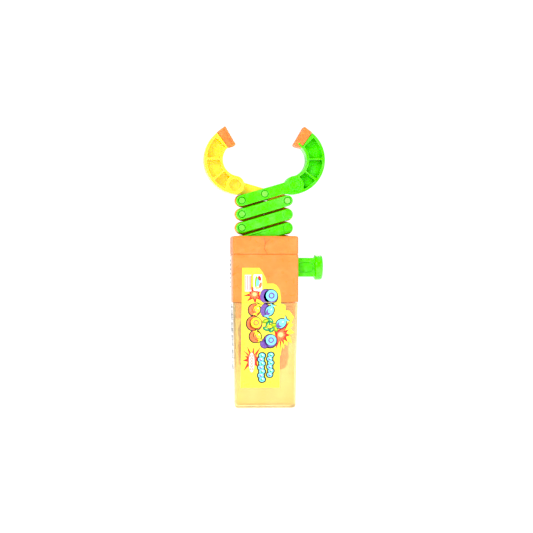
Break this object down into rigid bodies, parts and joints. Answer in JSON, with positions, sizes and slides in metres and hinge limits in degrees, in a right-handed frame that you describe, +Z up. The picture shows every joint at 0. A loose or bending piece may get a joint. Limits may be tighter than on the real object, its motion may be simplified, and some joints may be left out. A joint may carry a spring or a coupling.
{
  "type": "candy grabber toy",
  "caption": "Hand-held candy toy: a side plunger in a boxy housing drives a scissor arm that rises and closes two hooked claws; a clear cup below covers a lollipop.",
  "frame": {"origin": "centre of the cup's flat base", "axes": "+X towards the plunger's button, +Y from the labelled front to the back, +Z up towards the claws"},
  "size_m": [0.0718, 0.0241, 0.1666],
  "materials": {
    "green_plastic": "moulded, satin",
    "yellow_plastic": "moulded, satin",
    "amber_plastic": "moulded, satin",
    "orange_plastic": "moulded, satin",
    "clear_yellow_plastic": "clear, polished",
    "candy": "boiled sugar, slightly cloudy",
    "white_plug": "moulded",
    "spring_steel": "drawn wire",
    "printed_label": "printed film",
    "white_label": "printed film"
  },
  "bodies": {
    "housing": {"housing_body": "orange_plastic", "housing_cap": "orange_plastic", "anchor_pin": "green_plastic", "return_spring": "spring_steel", "lollipop_plug": "white_plug", "lollipop_candy": "candy", "label_front_upper": "printed_label", "label_side_upper": "white_label"},
    "front_link_1_body": {"front_link_1": "green_plastic"},
    "back_link_1_body": {"back_link_1": "amber_plastic", "pivot_pin_left_1": "green_plastic", "drive_pin": "green_plastic"},
    "front_link_2_body": {"front_link_2": "green_plastic"},
    "back_link_2_body": {"back_link_2": "amber_plastic", "pivot_pin_left_2": "green_plastic"},
    "front_link_3_body": {"front_link_3": "green_plastic"},
    "back_link_3_body": {"back_link_3": "amber_plastic", "pivot_pin_left_3": "green_plastic"},
    "front_link_4_body": {"front_link_4": "green_plastic"},
    "back_link_4_body": {"back_link_4": "amber_plastic", "pivot_pin_left_4": "green_plastic"},
    "front_link_5_body": {"front_link_5": "green_plastic"},
    "back_link_5_body": {"back_link_5": "amber_plastic", "pivot_pin_left_5": "green_plastic"},
    "green_claw_body": {"green_claw": "green_plastic", "green_claw_tip": "orange_plastic"},
    "yellow_claw_body": {"yellow_claw": "yellow_plastic", "yellow_claw_tip": "orange_plastic", "claw_centre_pin": "green_plastic", "claw_right_pin": "green_plastic"},
    "plunger_body": {"plunger": "green_plastic"},
    "cup_body": {"container": "clear_yellow_plastic", "label_front_lower": "printed_label", "label_side_lower": "white_label"}
  },
  "joints": [
    {"name": "scissor_lift", "type": "hinge", "parent": "housing", "child": "front_link_1_body", "pos_m": [-0.01361, 0, 0.0822], "axis": [0, -1, 0], "range_deg": [0, 30]},
    {"name": "centre_pivot_1", "type": "hinge", "parent": "front_link_1_body", "child": "back_link_1_body", "pos_m": [0, 0, 0.08626], "axis": [0, 1, 0], "range_deg": [0, 60]},
    {"name": "left_pivot_1", "type": "hinge", "parent": "back_link_1_body", "child": "front_link_2_body", "pos_m": [-0.01361, 0, 0.09031], "axis": [0, -1, 0], "range_deg": [0, 60]},
    {"name": "centre_pivot_2", "type": "hinge", "parent": "front_link_2_body", "child": "back_link_2_body", "pos_m": [0, 0, 0.09437], "axis": [0, 1, 0], "range_deg": [0, 60]},
    {"name": "left_pivot_2", "type": "hinge", "parent": "back_link_2_body", "child": "front_link_3_body", "pos_m": [-0.01361, 0, 0.09843], "axis": [0, -1, 0], "range_deg": [0, 60]},
    {"name": "centre_pivot_3", "type": "hinge", "parent": "front_link_3_body", "child": "back_link_3_body", "pos_m": [0, 0, 0.10248], "axis": [0, 1, 0], "range_deg": [0, 60]},
    {"name": "left_pivot_3", "type": "hinge", "parent": "back_link_3_body", "child": "front_link_4_body", "pos_m": [-0.01361, 0, 0.10654], "axis": [0, -1, 0], "range_deg": [0, 60]},
    {"name": "centre_pivot_4", "type": "hinge", "parent": "front_link_4_body", "child": "back_link_4_body", "pos_m": [0, 0, 0.1106], "axis": [0, 1, 0], "range_deg": [0, 60]},
    {"name": "left_pivot_4", "type": "hinge", "parent": "back_link_4_body", "child": "front_link_5_body", "pos_m": [-0.01361, 0, 0.11465], "axis": [0, -1, 0], "range_deg": [0, 60]},
    {"name": "centre_pivot_5", "type": "hinge", "parent": "front_link_5_body", "child": "back_link_5_body", "pos_m": [0, 0, 0.11871], "axis": [0, 1, 0], "range_deg": [0, 60]},
    {"name": "green_claw_pivot", "type": "hinge", "parent": "back_link_5_body", "child": "green_claw_body", "pos_m": [-0.01361, 0, 0.12277], "axis": [0, -1, 0], "range_deg": [0, 60]},
    {"name": "claw_centre_pivot", "type": "hinge", "parent": "green_claw_body", "child": "yellow_claw_body", "pos_m": [0, 0, 0.12682], "axis": [0, 1, 0], "range_deg": [0, 60]},
    {"name": "plunger_push", "type": "slide", "parent": "housing", "child": "plunger_body", "axis": [-1, 0, 0], "range_m": [0, 0.00771], "deforming": ["return_spring"]},
    {"name": "cup_pull_off", "type": "slide", "parent": "housing", "child": "cup_body", "axis": [0, 0, -1], "range_m": [0, 0.045]}
  ],
  "couplings": [
    {"joint": "centre_pivot_1", "follows": "scissor_lift", "ratio": 2},
    {"joint": "left_pivot_1", "follows": "scissor_lift", "ratio": 2},
    {"joint": "centre_pivot_2", "follows": "scissor_lift", "ratio": 2},
    {"joint": "left_pivot_2", "follows": "scissor_lift", "ratio": 2},
    {"joint": "centre_pivot_3", "follows": "scissor_lift", "ratio": 2},
    {"joint": "left_pivot_3", "follows": "scissor_lift", "ratio": 2},
    {"joint": "centre_pivot_4", "follows": "scissor_lift", "ratio": 2},
    {"joint": "left_pivot_4", "follows": "scissor_lift", "ratio": 2},
    {"joint": "centre_pivot_5", "follows": "scissor_lift", "ratio": 2},
    {"joint": "green_claw_pivot", "follows": "scissor_lift", "ratio": 2},
    {"joint": "claw_centre_pivot", "follows": "scissor_lift", "ratio": 2},
    {"joint": "plunger_push", "follows": "scissor_lift", "m_per_rad": 0.014706}
  ]
}
